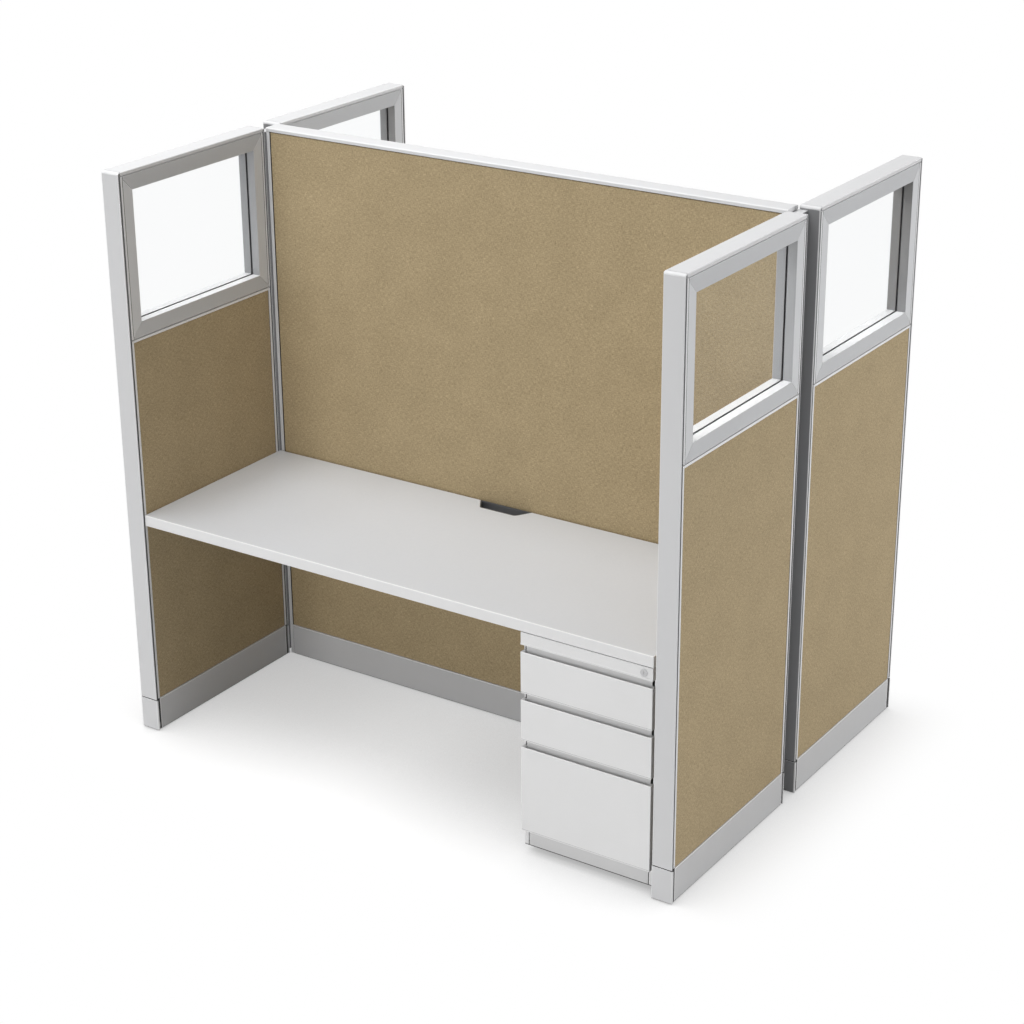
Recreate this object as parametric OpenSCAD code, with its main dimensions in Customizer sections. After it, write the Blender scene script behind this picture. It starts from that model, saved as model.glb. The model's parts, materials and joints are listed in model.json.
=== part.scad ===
// Back-to-back cubicle workstation: a spine panel, four windowed wings, two worksurfaces and two pedestals
// X runs along the spine, Y from the front station to the rear one, Z up from the floor

/* [Overall] */
// Clear width of each bay, between the inner faces of its wings
bay_w = 1829; // [1500:1:2200]
// Height of every panel, with its top cap
panel_h = 1829; // [1700:1:2100]
// Thickness of every panel
panel_t = 64; // [60:1:76]
// Depth of each wing, from its junction end to its free end
wing_d = 673; // [660:1:900]
// Play between the spine's face plane and each wing's junction end
slot_play = 3; // [1:0.5:6]
// Play between the spine's ends and the face planes of the wings
spine_play = 1.5; // [1:0.5:6]

/* [Panel frames] */
// Width of the steel tubes, seen from the panel's face
tube_w = 22; // [18:1:26]
// Wall of the steel tubes
tube_wall = 2; // [1:0.5:3]
// Height of the frames' underside above the floor
frame_lift = 20; // [16:1:30]
// Height of the spine's rail behind the worksurfaces
desk_rail_z = 640; // [560:1:680]

/* [Panel skins] */
// Thickness of a fabric tile
tile_t = 10; // [9:0.5:12]
// How far the fabric lies behind the panel's face plane
tile_recess = 1; // [0.5:0.5:2]
// Play between a tile and the strips around it
tile_play = 0.5; // [0.3:0.1:0.9]
// Width of the light strips beside the tiles
strip_w = 8; // [5:0.5:12]
// How far the light strips lie behind the panel's face plane
strip_recess = 0.5; // [0:0.5:1]
// Width of the dark shadow grooves beside the trims
groove_w = 2.5; // [1:0.5:4]
// Height of the raceway covers' lower edge
raceway_z = 5; // [4:1:18]
// Height of the raceway covers' upper edge
raceway_top = 112; // [100:1:140]
// Sheet thickness of the raceway covers
cover_sheet = 1.5; // [1:0.5:2.5]
// Seam between a raceway cover and the skin or trim beside it
cover_seam = 1; // [0.5:0.5:2]

/* [Trims and caps] */
// Height of a top cap's sides
cap_h = 12; // [10:1:20]
// Sheet thickness of the top caps
cap_sheet = 2; // [1:0.5:3]
// Radius along a top cap's upper edges
cap_edge_r = 4; // [3.5:0.5:6]
// Radius of the end trims' heads, seen from the side
head_r = 10; // [5:0.5:10]
// Joint between a wing's top cap and the heads of its end trims
cap_joint = 2; // [0.5:0.5:3]
// Shadow seam below the top caps
cap_seam = 1.5; // [1:0.5:4]
// Distance of a cap's inner legs from the frame's face
leg_inset = 4; // [3:0.5:8]
// How far the end trims reach along the faces
trim_lip = 8; // [7:0.5:12]
// How far the spine's end trims reach along its faces
spine_trim_lip = 14; // [8:0.5:20]
// Thickness of the trims across the panel's end
trim_web = 5; // [3:0.5:6]
// Thickness of the trims' lips
trim_sheet = 1.8; // [1:0.1:3]
// How far a wing trim's lips lie behind the faces, as a dark reveal
trim_reveal = 5; // [3:0.5:7]
// Radius of a wing trim's corners
trim_r = 2.5; // [1:0.5:2.5]
// Radius of the corners of the foot covers and the spine's trims
channel_r = 5; // [3.5:0.5:5.5]
// Gap between a foot cover and the floor
foot_gap = 4; // [2:1:8]
// How far a foot cover's lips reach along the faces
foot_lip = 6.5; // [6:0.5:9]
// How far a foot cover stands proud of the faces
foot_proud = 2.5; // [0:0.5:4]
// Height of a foot cover's upper edge
foot_top = 108; // [90:1:130]
// Seam between a foot cover and the end trim above it
foot_seam = 3; // [1:0.5:3]

/* [Windows] */
// Height of the window frames' lower edge
sill_z = 1315; // [1150:1:1400]
// Face width of a window frame's bars
bar_face = 48; // [44:1:60]
// Wall of the window frame's extrusion
bar_wall = 3; // [2:0.5:3.5]
// Gap at the mitred corners, along the bar
mitre_gap = 0.8; // [0.4:0.1:1.5]
// Thickness of the glass
glass_t = 6; // [4:0.5:8]
// How deep the glass sits in its groove
glass_bite = 8; // [6:0.5:9]
// Depth of the glazing groove
glass_groove_d = 10; // [10:0.5:12]
// Thickness of the gasket on each side of the glass
gasket_t = 1; // [0.5:0.5:1.5]
// How far the gasket shows inside the window frame
gasket_show = 1; // [1:0.5:5]

/* [Worksurfaces] */
// Height of the worksurfaces
desk_h = 749; // [700:1:780]
// Thickness of the worksurfaces
desk_t = 35; // [25:1:40]
// Distance of a worksurface's front edge behind the wings' free ends
desk_setback = 8; // [0:1:30]
// Play between a worksurface and the wing's face plane at the user's left
desk_left_play = 1; // [0.5:0.5:3]
// Gap between a worksurface and the wing's face plane at the user's right
desk_right_gap = 11; // [1:0.5:12]
// Play between a worksurface's back edge and the junction posts
desk_back_play = 1; // [0.5:0.5:3]
// Width of the cable notch at the worksurface's back edge
notch_back_w = 192; // [150:1:240]
// Width of the cable notch at its front
notch_front_w = 130; // [90:1:140]
// Depth of the cable notch
notch_d = 51; // [30:1:70]
// Radius of the cable notch's corners
notch_r = 12; // [8:1:18]
// Distance of the cable notch from the middle of the worksurface, towards the user's left
notch_shift = 15; // [0:1:60]
// Wall of the notch liner
liner_wall = 3; // [2:0.5:4]
// Clearance around the notch liner
liner_play = 0.3; // [0.2:0.1:0.6]
// How far the liner's rim lies below the worksurface
liner_drop = 0.5; // [0:0.5:2]

/* [Worksurface supports] */
// Reach of a cantilever bracket
bracket_l = 300; // [200:1:400]
// Height of a cantilever bracket at the spine
bracket_h = 150; // [100:1:200]
// Height of a cantilever bracket at its tip
bracket_nose = 20; // [12:1:30]
// Width of a cantilever bracket's flanges
bracket_w = 40; // [30:1:60]
// Sheet thickness of the cantilever brackets
bracket_sheet = 3; // [2:0.5:4]
// Distance of the outer bracket from the wing beside the knee space
outer_bracket_in = 305; // [150:1:400]
// Distance of the inner bracket from the pedestal
inner_bracket_in = 170; // [80:1:240]
// Length of the side rail
rail_l = 420; // [300:1:500]
// Leg width of the side rail
rail_leg = 25; // [20:1:40]
// Sheet thickness of the side rail
rail_sheet = 2; // [1.5:0.5:3]
// Radius of a worksurface screw
screw_r = 2.5; // [2:0.5:3]
// Radius of a worksurface screw's head
screw_head_r = 4.5; // [4:0.5:6]
// Height of a worksurface screw's head
screw_head_h = 2.5; // [2:0.5:4]
// Length of a worksurface screw inside the worksurface
screw_bite = 18; // [12:1:20]
// Radial clearance of the screws and bolts in their holes
screw_play = 0.05; // [0.05:0.05:0.1]

/* [Junctions] */
// Depth of a junction post, out from the spine's end
post_d = 28.5; // [26:0.5:40]
// Wall of a junction post
post_wall = 2; // [1.5:0.5:3]
// Radius of a junction bolt
bolt_r = 3; // [2.5:0.5:3.5]
// Radius of a junction bolt's head
bolt_head_r = 5; // [4.5:0.5:6]
// Height of a junction bolt's head
bolt_head_h = 4; // [3:0.5:5]
// How far a junction bolt stands past the last wall
bolt_tip = 8; // [6:0.5:10]
// Distance of the cross bolts from a junction post's outer face
cross_bolt_in = 6; // [5.5:0.5:8]
// Height of each cross bolt above its spine bolt
cross_bolt_rise = 40; // [20:1:80]
// Distance of the outer bolts from the frames' lower ends and from the windows
bolt_end_in = 140; // [100:1:300]

/* [Levelling glides] */
// Radius of a panel glide's foot
glide_r = 12; // [8:1:12]
// Height of a panel glide's foot
glide_foot_h = 7; // [5:0.5:10]
// Radius of a glide's stem
glide_stem_r = 5; // [4:0.5:6]
// Distance of a panel glide from the panel's end
glide_in = 18; // [18:1:30]
// Radius of a pedestal glide's foot
ped_glide_r = 15; // [10:1:20]
// Distance of the pedestal glides from the case's sides, front and back
ped_glide_in = 60; // [40:1:90]

/* [Pedestal case] */
// Width of a pedestal
ped_w = 427; // [380:1:460]
// Depth of a pedestal, from its drawer fronts to its back
ped_d = 580; // [570:1:620]
// Gap between a pedestal and the wing's face plane
ped_side_gap = 13; // [3:1:20]
// Height of the case's underside above the floor
ped_lift = 22; // [15:1:40]
// Sheet thickness of the case
case_sheet = 1.5; // [1:0.1:2]
// Gap between the drawer fronts' backs and the case's front edge
front_stand = 2; // [1:0.5:4]
// Width of the hem along the case's front edges
hem_w = 4; // [3:0.5:4.5]
// Depth of the hem
hem_t = 2; // [1:0.5:2.5]
// Width of the case's corner flanges beside the base panel
base_flange_w = 12; // [8:1:16]
// Shadow gap between the corner flanges and the base panel
base_gap = 2.5; // [1:0.5:4]
// How far the base panel reaches up behind the file drawer's front
base_rise = 4; // [1:1:5]
// Height of the top strip that carries the lock
strip_h = 38.5; // [34:0.5:50]
// Shadow gap above the top strip
strip_gap = 2.5; // [1:0.5:4]
// Height of the lip along the top strip's lower edge
strip_lip_h = 6; // [4:0.5:8]
// How far that lip stands proud of the strip
strip_lip_t = 1.5; // [1:0.5:2.5]
// Seam between the top strip and the case's front edge
strip_seam = 0.2; // [0.1:0.1:0.5]

/* [Drawer fronts] */
// Thickness of a drawer front
front_t = 18; // [16:0.5:22]
// Height of a box drawer's front
box_front_h = 128; // [124:1:140]
// Height of the file drawer front's lower edge
file_front_z = 78; // [60:1:90]
// Height of the finger gap above each front
pull_gap = 22.5; // [18:0.5:30]
// Depth of the finger trough behind a front's upper lip
trough_d = 12; // [8:1:16]
// Thickness of a front's upper lip
lip_t = 2.5; // [1.5:0.5:4]
// Thickness of the flange behind the finger gap
flange_t = 2; // [1.5:0.5:3]
// Clearance above that flange
flange_play = 2; // [1.5:0.5:4]
// Distance of the finger pull's ends from the front's ends
pull_inset = 10; // [6:1:20]
// Sheet thickness of a drawer front
front_sheet = 1.5; // [1:0.1:2]
// Distance of a front's stiffeners from its ends
rib_in = 60; // [40:1:120]
// Width of a front's stiffeners
rib_w = 16; // [10:1:24]

/* [Drawer tubs] */
// Sheet thickness of the tubs
tub_sheet = 1.2; // [0.8:0.1:1.6]
// Gap between a tub's back and the case's back
tub_back_gap = 33; // [20:1:40]
// Height of a tub's floor above its front's lower edge
tub_lift = 7; // [6:0.5:10]
// Height of a box drawer's tub
box_tub_h = 95; // [90:1:102]
// Height of the file drawer's tub
file_tub_h = 240; // [200:1:250]

/* [Drawer slides] */
// Width of the gap that holds a slide, between a tub and the case
slide_gap = 12.7; // [12.5:0.1:14]
// Length of every slide member
slide_l = 500; // [420:1:505]
// Distance of the slides' front ends behind the case's front edge
slide_in = 25; // [23:1:30]
// Sheet thickness of the slide members
slide_sheet = 1.2; // [1:0.1:1.4]
// Running clearance between nested slide members
slide_play = 0.3; // [0.2:0.1:0.4]
// Seam between a tub and the slide members and catch riveted to it
member_seam = 0.2; // [0.1:0.1:0.3]
// Distance of the moving members from the case's sides
member_clear = 3.2; // [3:0.1:3.4]
// Height of a box drawer's fixed member
box_slide_h = 38; // [34:1:40]
// Height of a box drawer's slides above its tub's floor
box_slide_rise = 30; // [26:1:34]
// Height of the file drawer's fixed member
file_slide_h = 46; // [40:1:50]
// Height of the file drawer's slides above its tub's floor
file_slide_rise = 113; // [60:1:130]

/* [Lock] */
// Distance of the lock from the pedestal's right side
lock_in = 27.5; // [26:0.5:34]
// Distance of the lock below the top strip's upper edge
lock_drop = 18.5; // [18:0.5:20]
// Radius of the lock plug
plug_r = 9; // [8:0.5:9.5]
// Radius of the lock's bezel
bezel_r = 11; // [10:0.5:11.5]
// How far the bezel stands proud of the strip's face
bezel_h = 2.7; // [1.5:0.1:4]
// Gap behind the bezel
bezel_play = 0.3; // [0.2:0.1:0.5]
// Radial clearance of the plug in the strip
plug_play = 0.05; // [0.02:0.01:0.1]
// Length of the key slot
key_l = 8; // [6:0.5:9]
// Width of the key slot
key_w = 1.4; // [1:0.1:2]
// Depth of the key slot
key_d = 4; // [2:0.5:6]
// Thickness of the cam
cam_t = 2; // [1.5:0.5:3]
// Width of the cam
cam_w = 7; // [6:0.5:8]
// Radius of the cam's pin
cam_pin_r = 2; // [1.5:0.5:2.5]
// Clearance of the pin in the lock bar's slot
cam_play = 0.3; // [0.2:0.1:0.4]
// Gap between the cam and the lock bar
cam_gap = 0.6; // [0.4:0.1:1]
// Lift of the lock bar between unlocked and locked
lock_lift = 12; // [10:0.5:13]
// Thickness of the lock bar
bar_t = 2.4; // [2:0.1:2.4]
// Gap between the lock bar and the case
bar_play = 0.3; // [0.2:0.1:0.4]
// Width of the lock bar
bar_w = 15.4; // [15:0.1:16]
// Height of the lock bar's flag above and below the pin
flag_h = 8; // [6:0.5:9]
// Height of a hook
hook_h = 10; // [8:0.5:11]
// Gap between an unlocked hook and the catch above it
hook_clear = 2; // [1:0.5:3]
// Gap between a hook's tip and the tub
hook_tip = 2.7; // [2:0.1:4]
// Distance of the hooks behind the lock bar's front edge
hook_in = 7.4; // [7:0.1:8]
// Gap between a locked hook and its catch
catch_lead = 3.6; // [2:0.1:3.8]
// Thickness of a catch
catch_t = 2; // [1.5:0.1:2.4]
// Height of a catch
catch_h = 12; // [10:0.5:14]
// Distance of a catch below the tub's rim
catch_drop = 2; // [1:0.5:4]
// Width of a catch
catch_w = 8.2; // [7:0.1:8.6]

/* [Hidden] */
$fn = 48;
// Overrun of every cut
over = 1;
// Thickness of the panels' core, between the backs of the tiles
core_t = panel_t - 2 * (tile_t + tile_recess);
// Length of the spine, between the wings
spine_w = bay_w - 2 * spine_play;
// Distance of each wing's junction end from the spine's middle plane
wing_start = panel_t / 2 + slot_play;
// Upper end of the frames, trims and windows
frame_top = panel_h - cap_h - cap_seam;
// Lower edge of the skins above the raceways
skin_z = raceway_top + cover_seam;

// Length and height of a window frame, and its place along the wing
win_y = trim_lip + groove_w;
win_l = wing_d - 2 * win_y;
win_h = frame_top - sill_z;
glass_in = bar_face - glass_bite;
groove_half = glass_t / 2 + gasket_t;

// Places of the worksurface
desk_front = wing_start + wing_d - desk_setback;
desk_back = wing_start + desk_back_play;
desk_under = desk_h - desk_t;
desk_left = bay_w / 2 - desk_left_play;
desk_right = bay_w / 2 - desk_right_gap;
tile_face = core_t / 2 + tile_t;
ped_x = bay_w / 2 - ped_side_gap - ped_w;
bracket_places = [outer_bracket_in - bay_w / 2, ped_x - inner_bracket_in];
bracket_screw_shares = [0.3, 0.9];
rail_screw_shares = [0.15, 0.85];

// Heights in the pedestal
strip_top = desk_under - strip_gap;
strip_z = strip_top - strip_h;
upper_front_z = strip_z - pull_gap - box_front_h;
lower_front_z = upper_front_z - pull_gap - box_front_h;
file_front_h = lower_front_z - pull_gap - file_front_z;
case_y = front_t + front_stand;
slide_y = case_y + slide_in;
tub_x = case_sheet + slide_gap;
tub_y = ped_d - tub_back_gap;
// Upper drawer, lower drawer and file drawer: front's lower edge, front height, tub height,
// height of the slides above the tub's floor
UPPER = [upper_front_z, box_front_h, box_tub_h, box_slide_rise];
LOWER = [lower_front_z, box_front_h, box_tub_h, box_slide_rise];
FILE = [file_front_z, file_front_h, file_tub_h, file_slide_rise];
// Heights of nested slide members
nest = 2 * (slide_sheet + slide_play);
mid_h = file_slide_h - nest;
// Reach of the file drawer's members across the slide gap
file_fixed_reach = member_clear + 2 * slide_sheet + slide_play;
file_mid_reach = slide_gap - slide_sheet - slide_play - 2 * slide_play - slide_sheet;

// Places of the lock
lock_x = ped_w - lock_in;
lock_z = strip_top - lock_drop;
cam_y = case_y + hem_t;
bar_y = cam_y + cam_t + cam_gap;
bar_x = ped_w - case_sheet - bar_play - bar_t;
// The pin swings from 45 degrees below the lock's axis to 45 degrees above it
cam_angle = 45;
cam_reach = lock_lift / 2 / sin(cam_angle);
pin_x = lock_x + cam_reach * cos(cam_angle);
pin_z = lock_z - cam_reach * sin(cam_angle);
pin_end = bar_y + bar_t + cam_gap;
hook_drop = catch_drop + catch_h + hook_clear + hook_h;

// Finishes
TRIM = [0.78, 0.79, 0.81];
GREY = [0.66, 0.67, 0.69];
FABRIC = [0.60, 0.54, 0.41];
LAMINATE = [0.87, 0.87, 0.86];
OFF_WHITE = [0.86, 0.86, 0.85];
STEEL = [0.55, 0.56, 0.58];
DARK = [0.16, 0.16, 0.17];
CLEAR = [0.85, 0.90, 0.92, 0.35];

// Each wing: name, side (right is positive) and row (rear is positive)
WINGS = [["front_left", -1, -1], ["front_right", 1, -1], ["rear_left", -1, 1], ["rear_right", 1, 1]];
// Each station: name and turn about the vertical axis
STATIONS = [["front", 0], ["rear", 180]];
WING_PARTS = ["top_cap", "end_trims", "window_frame", "glass", "tiles"];
SHARED_PARTS = [
    "wing_frames", "foot_covers", "edge_strips", "raceway_covers", "glazing_gaskets", "levelling_glides",
    "spine_frame", "spine_top_cap", "spine_end_trims", "spine_front_tile", "spine_rear_tile",
    "junction_posts", "junction_bolts", "notch_liners", "cantilever_brackets", "side_rails",
    "worksurface_screws", "fixed_slides"
];
STATION_PARTS = [
    "worksurface", "pedestal_case", "file_middle_slides", "upper_drawer_front", "upper_drawer_tub",
    "lower_drawer_front", "lower_drawer_tub", "file_drawer_front", "file_drawer_tub", "lock_plug", "lock_bar"
];

// Box between two opposite corners
module span(a, b) {
    translate(a) cube(b - a);
}

// Puts a wing in place. Its own frame has X outwards through the panel and Y towards its free end
module on_wing(w) {
    translate([w[1] * (bay_w + panel_t) / 2, w[2] * wing_start, 0])
        mirror([w[1] < 0 ? 1 : 0, 0, 0]) mirror([0, w[2] < 0 ? 1 : 0, 0]) children();
}

module on_wings() {
    for (w = WINGS) on_wing(w) children();
}

// Puts the spine in place. Its own frame has X to the front through the panel and Y along it
module on_spine() {
    rotate([0, 0, -90]) translate([0, -spine_w / 2, 0]) children();
}

// Draws both ends of a panel of length l from the one at y = l
module on_ends(l) {
    children();
    translate([0, l, 0]) mirror([0, 1, 0]) children();
}

// Draws both faces of a panel from the one on its +X side
module on_faces() {
    for (m = [0, 1]) mirror([m, 0, 0]) children();
}

module on_station(s) {
    rotate([0, 0, s[1]]) children();
}

// Puts a pedestal in place. Its own frame has its front lower left corner at the origin
module in_pedestal(s) {
    on_station(s) translate([ped_x, -desk_front, 0]) children();
}

// Tubes of a panel frame, or with wall above zero the space inside them
module frame_tubes(l, posts, rails, wall) {
    for (y = posts)
        span([wall - core_t / 2, y + wall, frame_lift + wall],
             [core_t / 2 - wall, y + tube_w - wall, frame_top - wall]);
    for (z = rails)
        span([wall - core_t / 2, trim_web + wall, z + wall],
             [core_t / 2 - wall, l - trim_web - wall, z + tube_w - wall]);
}

module welded_frame(l, posts, rails) {
    difference() {
        frame_tubes(l, posts, rails, 0);
        frame_tubes(l, posts, rails, tube_wall);
    }
}

// Shanks of the junction bolts, or with a larger radius their holes
module bolt_shanks(r) {
    spine_bolt_l = trim_web + tube_wall + bolt_tip + post_d;
    cross_bolt_l = wing_start + trim_web + tube_w + bolt_tip;
    for (side = [-1, 1]) for (z = bolt_heights()) {
        translate([side * (spine_w / 2 + post_d), 0, z]) rotate([0, -90 * side, 0])
            cylinder(h = spine_bolt_l, r = r);
        translate([side * (spine_w / 2 + post_d - cross_bolt_in), -cross_bolt_l, z + cross_bolt_rise])
            rotate([-90, 0, 0]) cylinder(h = 2 * cross_bolt_l, r = r);
    }
}

// Heights of the spine bolts, all below the windows
function bolt_heights() = [
    frame_lift + bolt_end_in,
    (frame_lift + sill_z) / 2,
    sill_z - bolt_end_in
];

module bolt_holes() {
    bolt_shanks(bolt_r + screw_play);
}

module junction_bolts() color(STEEL) {
    cross_y = wing_start + trim_web + tube_w;
    bolt_shanks(bolt_r);
    for (side = [-1, 1]) for (z = bolt_heights()) {
        translate([side * (spine_w / 2 + post_d), 0, z]) rotate([0, 90 * side, 0])
            cylinder(h = bolt_head_h, r = bolt_head_r, $fn = 6);
        translate([side * (spine_w / 2 + post_d - cross_bolt_in), -cross_y, z + cross_bolt_rise])
            rotate([90, 0, 0]) cylinder(h = bolt_head_h, r = bolt_head_r, $fn = 6);
        translate([side * (spine_w / 2 + post_d - cross_bolt_in), cross_y, z + cross_bolt_rise])
            rotate([-90, 0, 0]) cylinder(h = bolt_head_h, r = bolt_head_r, $fn = 6);
    }
}

// Dark hollow post in the slot between two wings, closed at its top
module junction_posts() color(DARK) difference() {
    for (side = [0, 1]) mirror([side, 0, 0]) difference() {
        span([spine_w / 2, -wing_start, frame_lift], [spine_w / 2 + post_d, wing_start, frame_top]);
        span([spine_w / 2 + post_wall, post_wall - wing_start, frame_lift - over],
             [spine_w / 2 + post_d - post_wall, wing_start - post_wall, frame_top - post_wall]);
    }
    bolt_holes();
}

module wing_frames() color(STEEL) difference() {
    on_wings() welded_frame(
        wing_d, [trim_web, wing_d - trim_web - tube_w], [frame_lift, sill_z, frame_top - tube_w]
    );
    bolt_holes();
}

module spine_frame() color(STEEL) difference() {
    on_spine() welded_frame(
        spine_w,
        [trim_web, spine_w / 3 - tube_w / 2, spine_w * 2 / 3 - tube_w / 2, spine_w - trim_web - tube_w],
        [frame_lift, desk_rail_z, frame_top - tube_w]
    );
    bolt_holes();
}

// Plate of width w over the end of a panel of length l, between y = l - depth and l, with rounded corners
module end_plate_2d(w, l, depth, r) {
    translate([-w / 2, l - depth]) square([w, depth - r]);
    translate([r - w / 2, l - depth]) square([w - 2 * r, depth]);
    for (side = [-1, 1]) translate([side * (w / 2 - r), l - r]) circle(r = r);
}

// End trim whose lips lie behind the faces
module end_trim_2d(l) {
    end_plate_2d(panel_t, l, trim_web, trim_r);
    for (side = [0, 1]) mirror([side, 0])
        translate([panel_t / 2 - trim_reveal - trim_sheet, l - trim_lip])
            square([trim_sheet, trim_lip - trim_web / 2]);
}

// Channel of width w over the end of a panel
module end_channel_2d(w, l, lip) {
    difference() {
        end_plate_2d(w, l, lip, channel_r);
        translate([-w / 2, l - lip - channel_r]) square([w, channel_r]);
        translate([trim_sheet - w / 2, l - lip - over])
            square([w - 2 * trim_sheet, lip + over - trim_web]);
    }
}

// Rounded head of an end trim, which closes the end of the top cap
module trim_head() intersection() {
    cap_bar(panel_t, wing_d, cap_h, cap_edge_r, head_r);
    linear_extrude(cap_h) end_plate_2d(panel_t, wing_d, head_r, trim_r);
}

module wing_end_trims(w) color(TRIM) difference() {
    on_wing(w) on_ends(wing_d) {
        translate([0, 0, foot_top + foot_seam])
            linear_extrude(panel_h - cap_h - foot_top - foot_seam) end_trim_2d(wing_d);
        translate([0, 0, panel_h - cap_h]) trim_head();
    }
    bolt_holes();
}

module foot_covers() color(TRIM) on_wings() on_ends(wing_d) translate([0, 0, foot_gap])
    linear_extrude(foot_top - foot_gap) end_channel_2d(panel_t + 2 * foot_proud, wing_d, foot_lip);

module spine_end_trims() color(TRIM) difference() {
    on_spine() on_ends(spine_w) translate([0, 0, raceway_z])
        linear_extrude(frame_top - raceway_z) end_channel_2d(panel_t, spine_w, spine_trim_lip);
    bolt_holes();
}

// Outline of a bar seen from its end, with rounded upper corners
module round_top_2d(w, h, r) {
    square([w, h - r]);
    translate([r, 0]) square([w - 2 * r, h]);
    for (x = [r, w - r]) translate([x, h - r]) circle(r = r);
}

// Bar with rounded upper edges, from y = 0 to l
module cap_section(w, l, h, r) {
    translate([-w / 2, l, 0]) rotate([90, 0, 0]) linear_extrude(l) round_top_2d(w, h, r);
}

// The same bar with its upper corners rounded at both ends
module cap_bar(w, l, h, r, end_r) {
    intersection() {
        cap_section(w, l, h, r);
        translate([-w / 2, 0, 0]) rotate([90, 0, 90]) linear_extrude(w) round_top_2d(l, h, end_r);
    }
}

// Inner legs that stand on the frame's top rail, clear of the end trims
module cap_legs(l) {
    for (side = [0, 1]) mirror([side, 0, 0])
        span([core_t / 2 - leg_inset - cap_sheet, trim_web + cap_seam, -cap_seam],
             [core_t / 2 - leg_inset, l - trim_web - cap_seam, cap_h - cap_sheet]);
}

// Hollow top cap of length l, closed at its ends
module top_cap(l) translate([0, 0, panel_h - cap_h]) {
    difference() {
        cap_section(panel_t, l, cap_h, cap_edge_r);
        translate([0, cap_sheet, -over]) cap_section(
            panel_t - 2 * cap_sheet, l - 2 * cap_sheet, cap_h - cap_sheet + over, cap_edge_r - cap_sheet
        );
    }
    cap_legs(l);
}

module wing_top_cap() color(TRIM) translate([0, head_r + cap_joint, 0])
    top_cap(wing_d - 2 * head_r - 2 * cap_joint);

module spine_top_cap() color(TRIM) on_spine() top_cap(spine_w);

// Section of a window bar: X from its outer edge to the opening, Y through the panel
module bar_section_2d() {
    half = panel_t / 2;
    difference() {
        translate([0, -half]) square([bar_face, panel_t]);
        translate([-over, -core_t / 2]) square([tube_w + over, core_t]);
        for (side = [0, 1]) mirror([0, side]) {
            translate([bar_wall, core_t / 2 + bar_wall])
                square([tube_w - bar_wall, tile_t + tile_recess - 2 * bar_wall]);
            translate([tube_w + bar_wall, groove_half + bar_wall])
                square([bar_face - tube_w - 2 * bar_wall, half - groove_half - 2 * bar_wall]);
        }
        translate([bar_face - glass_groove_d, -groove_half])
            square([glass_groove_d + over, 2 * groove_half]);
    }
}

// Bar of outer length l along X, mitred at both ends
module mitred_bar(l) {
    intersection() {
        rotate([90, 0, 90]) linear_extrude(l) bar_section_2d();
        translate([0, 0, -panel_t]) linear_extrude(2 * panel_t) polygon([
            [mitre_gap / 2, 0], [l - mitre_gap / 2, 0],
            [l - mitre_gap / 2 - bar_face, bar_face], [mitre_gap / 2 + bar_face, bar_face]
        ]);
    }
}

// Puts a window's own plane, X along the wing and Y up, into the wing
module on_window() {
    translate([0, win_y, sill_z]) rotate([90, 0, 90]) children();
}

module window_frame() color(GREY) on_window() {
    mitred_bar(win_l);
    translate([0, win_h, 0]) mirror([0, 1, 0]) mitred_bar(win_l);
    mirror([1, -1, 0]) mitred_bar(win_h);
    translate([win_l, 0, 0]) mirror([1, 0, 0]) mirror([1, -1, 0]) mitred_bar(win_h);
}

// Slab in the window's plane, from inset to the same inset on the other sides
module window_slab(inset, half) {
    span([inset, inset, -half], [win_l - inset, win_h - inset, half]);
}

module window_glass() color(CLEAR) on_window() {
    window_slab(glass_in, glass_t / 2);
}

module glazing_gaskets() color(DARK) on_wings() on_window() difference() {
    window_slab(bar_face - glass_groove_d, groove_half);
    window_slab(bar_face + gasket_show, groove_half + over);
    window_slab(glass_in, glass_t / 2);
}

// Fabric tile on the +X face, between two places along the panel
module tile(y0, y1, z0, z1) {
    span([core_t / 2, y0, z0], [tile_face, y1, z1]);
}

module wing_tiles() color(FABRIC) on_faces() tile(
    win_y + strip_w + tile_play, win_y + win_l - strip_w - tile_play,
    skin_z, sill_z - groove_w - strip_w - tile_play
);

module spine_tile() color(FABRIC) tile(
    spine_trim_lip + groove_w, spine_w - spine_trim_lip - groove_w, skin_z, frame_top - tile_play
);

// Light strips at the tile's two ends and above it
module edge_strips() color(TRIM) on_wings() on_faces() {
    face = panel_t / 2 - strip_recess;
    top = sill_z - groove_w;
    for (y = [win_y, win_y + win_l - strip_w]) span([core_t / 2, y, skin_z], [face, y + strip_w, top]);
    span([core_t / 2, win_y + strip_w + tile_play, top - strip_w],
         [face, win_y + win_l - strip_w - tile_play, top]);
}

// Raceway cover on the +X face: a channel with its edges turned in to the frame
module raceway_cover(y0, y1) {
    span([panel_t / 2 - cover_sheet, y0, raceway_z], [panel_t / 2, y1, raceway_top]);
    for (z = [raceway_z, raceway_top - cover_sheet])
        span([core_t / 2, y0, z], [panel_t / 2, y1, z + cover_sheet]);
}

module raceway_covers() color(GREY) {
    on_wings() on_faces() raceway_cover(win_y, win_y + win_l);
    on_spine() on_faces() raceway_cover(spine_trim_lip + cover_seam, spine_w - spine_trim_lip - cover_seam);
}

module glide(foot_r, foot_h, top) {
    cylinder(h = foot_h, r = foot_r);
    translate([0, 0, foot_h]) cylinder(h = top - foot_h, r = glide_stem_r);
}

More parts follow.
